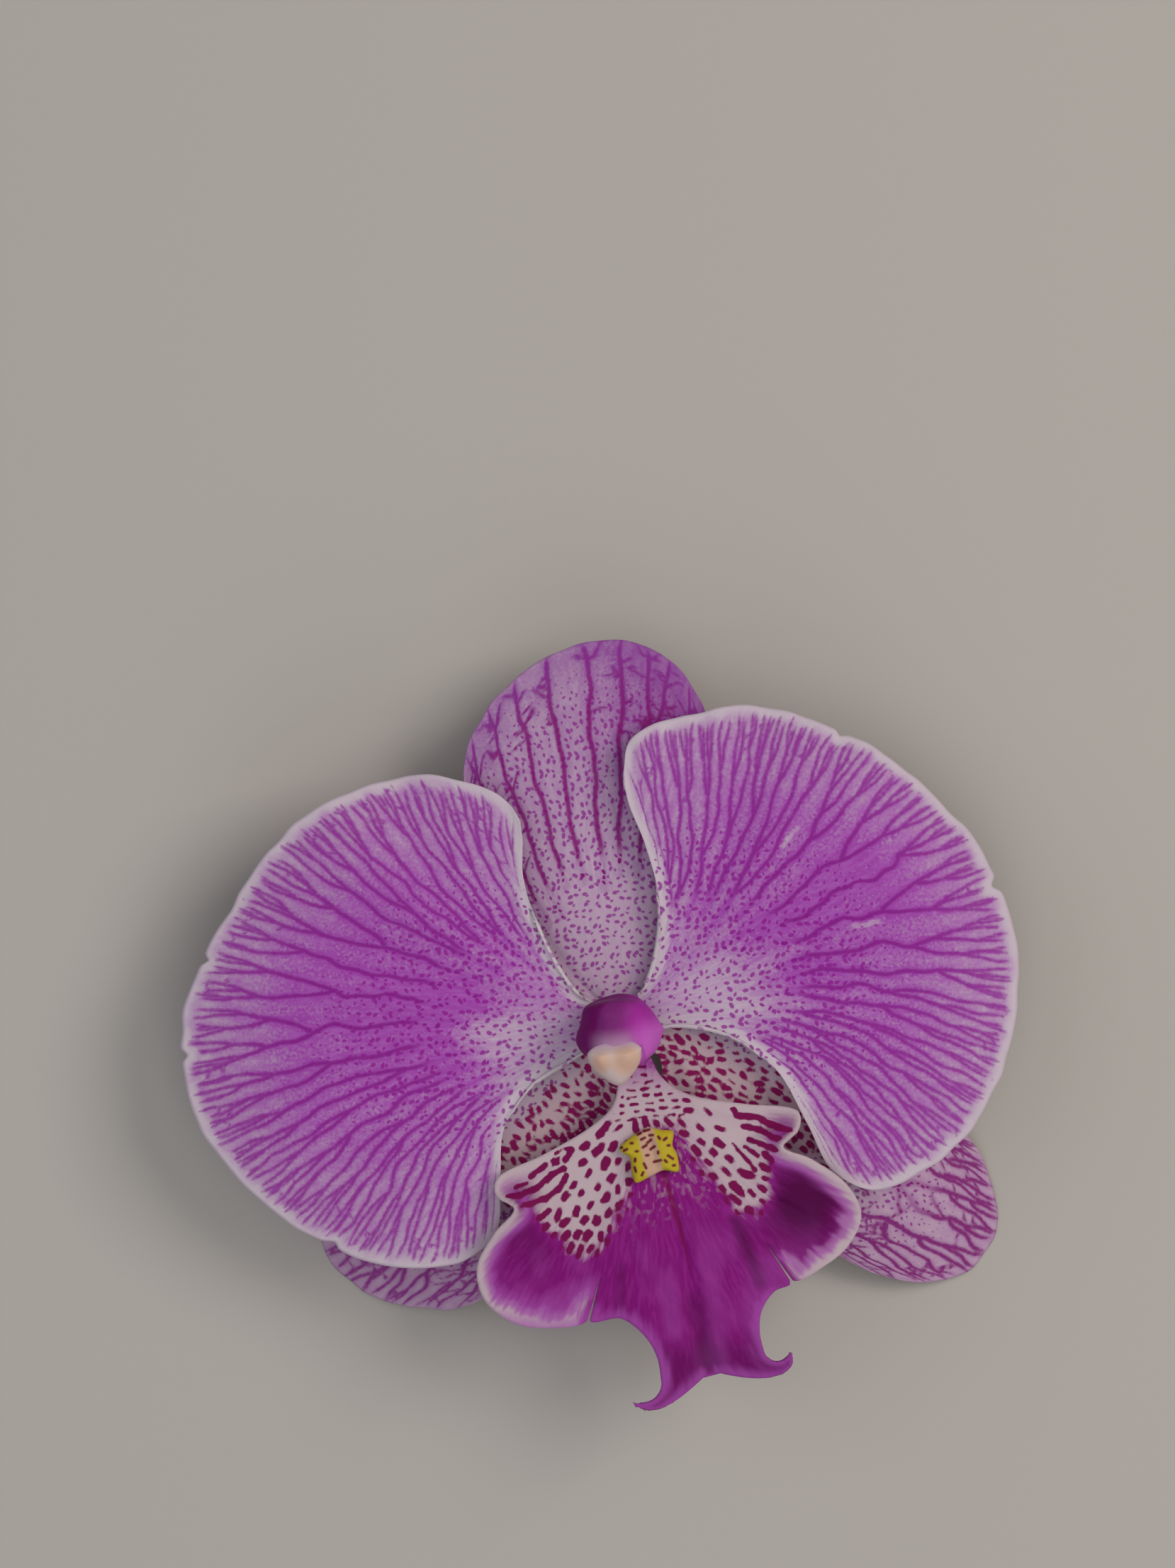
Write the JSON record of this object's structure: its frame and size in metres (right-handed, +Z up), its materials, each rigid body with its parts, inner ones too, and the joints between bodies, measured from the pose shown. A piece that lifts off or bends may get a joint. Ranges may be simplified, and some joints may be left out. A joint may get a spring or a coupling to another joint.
{
  "type": "orchid flower",
  "caption": "Picked moth orchid bloom with broad veined petals, narrower sepals, a hooked spotted lip, a column with a cream cap and a bent stalk, lying face up.",
  "frame": {"origin": "middle of the bloom's outline on the surface that it lies on", "axes": "+Z up, the way the bloom faces as it lies on its back; +Y toward the dorsal sepal; +X toward the right petal as seen from the front, along the line of the two petals"},
  "size_m": [0.1004, 0.0915, 0.0273],
  "materials": {
    "stalk": "green stalk turning pink at the joint, satin",
    "dorsal_sepal_skin": "pale pink petal skin with magenta lines and dots, soft satin",
    "lateral_sepal_skin": "cream petal skin with dark red blotches and a magenta net, soft satin",
    "petal_skin": "lilac petal skin with magenta veins and a white margin, soft satin",
    "lip_skin": "white spotted and solid magenta petal skin, soft satin",
    "callus_skin": "yellow waxy skin with maroon dots",
    "column_skin": "purple waxy skin, satin",
    "cap_skin": "cream waxy skin, satin"
  },
  "bodies": {
    "root": {"pedicel": "stalk", "dorsal_sepal": "dorsal_sepal_skin", "lateral_sepal_left": "lateral_sepal_skin", "lateral_sepal_right": "lateral_sepal_skin", "petal_left": "petal_skin", "petal_right": "petal_skin", "lip": "lip_skin", "callus": "callus_skin", "column": "column_skin", "anther_cap": "cap_skin"}
  },
  "joints": []
}
